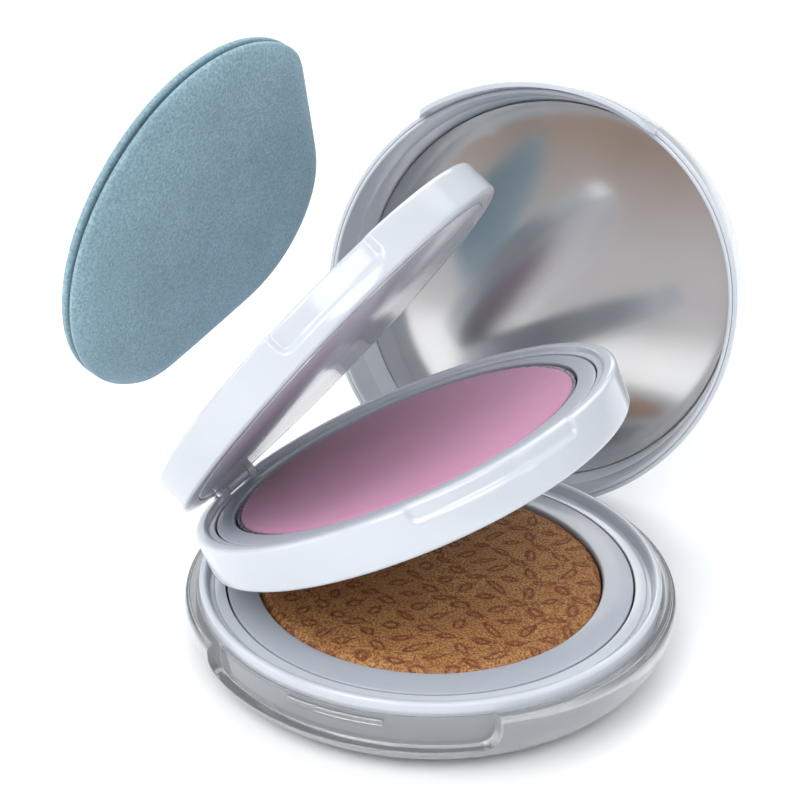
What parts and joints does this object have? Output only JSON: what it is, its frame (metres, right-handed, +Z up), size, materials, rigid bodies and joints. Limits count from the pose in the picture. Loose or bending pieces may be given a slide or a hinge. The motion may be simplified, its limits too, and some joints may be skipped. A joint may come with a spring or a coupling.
{
  "type": "powder compact",
  "caption": "Round two-tier makeup compact, open: clear-edged cushion base with sponge, hinged blush tray and its lid, deep mirror lid and a drop-shaped puff.",
  "frame": {"origin": "centre of the base's flat underside, on the table", "axes": "+Z up, -Y towards the user (front, thumb pocket side), +X to the user's right; lid hinge at +Y, tray hinge at -X"},
  "size_m": [0.085, 0.1059, 0.0907],
  "materials": {
    "clear_plastic": "clear gloss",
    "white_plastic": "gloss, slightly bluish white",
    "pale_flange": "satin",
    "foundation_sponge": "matt speckled mesh over sponge",
    "blush_powder": "pressed powder, matt",
    "pan_metal": "satin",
    "steel_pin": "drawn wire",
    "mirror_glass": "silvered mirror",
    "adhesive_pad": "foam tape",
    "seal_silicone": "matt silicone",
    "puff_fabric": "short-pile microfibre",
    "puff_foam": "open-cell foam"
  },
  "bodies": {
    "base": {"base_shell": "clear_plastic", "base_liner": "white_plastic", "latch_catch": "clear_plastic", "refill_pot": "white_plastic", "pot_flange_ring": "pale_flange", "foundation_sponge": "foundation_sponge", "tray_hinge_pin": "steel_pin"},
    "lid_pin": {"lid_hinge_pin": "steel_pin"},
    "mirror_lid": {"lid_shell": "white_plastic", "lid_frame": "white_plastic", "mirror": "mirror_glass", "mirror_adhesive_pad": "adhesive_pad"},
    "blush_tray": {"tray_body": "white_plastic", "tray_base_plate": "white_plastic", "tray_insert_ring": "pale_flange", "blush_pan": "pan_metal", "blush_powder": "blush_powder", "tray_seal": "seal_silicone", "tray_lid_hinge_pin": "steel_pin"},
    "tray_lid": {"tray_lid_shell": "white_plastic", "tray_lid_inner_plate": "white_plastic"},
    "puff": {"puff_face": "puff_fabric", "puff_foam": "puff_foam", "puff_back": "puff_fabric"}
  },
  "joints": [
    {"name": "lid_pin_turn", "type": "hinge", "parent": "base", "child": "lid_pin", "pos_m": [0, 0.0351, 0.0063], "axis": [-1, 0, 0], "range_deg": [-76, 0]},
    {"name": "lid_hinge", "type": "hinge", "parent": "lid_pin", "child": "mirror_lid", "pos_m": [0, 0.0351, 0.0063], "axis": [-1, 0, 0], "range_deg": [-24, 0]},
    {"name": "blush_tray_hinge", "type": "hinge", "parent": "base", "child": "blush_tray", "pos_m": [-0.0342, 0, 0.0137], "axis": [0, -1, 0], "range_deg": [-24.7, 0]},
    {"name": "tray_lid_hinge", "type": "hinge", "parent": "blush_tray", "child": "tray_lid", "pos_m": [-0.03512, 0, 0.01856], "axis": [0, -1, 0], "range_deg": [-26.4, 0]},
    {"name": "puff_lift", "type": "hinge", "parent": "tray_lid", "child": "puff", "pos_m": [-0.08631, 0.0342, 0.01451], "axis": [-0.031, -0.9356, -0.3518], "range_deg": [-17.75, 0]}
  ],
  "couplings": [
    {"joint": "blush_tray_hinge", "follows": "lid_pin_turn", "ratio": 0.325},
    {"joint": "tray_lid_hinge", "follows": "lid_pin_turn", "ratio": 0.34737},
    {"joint": "puff_lift", "follows": "lid_pin_turn", "ratio": 0.23355}
  ]
}
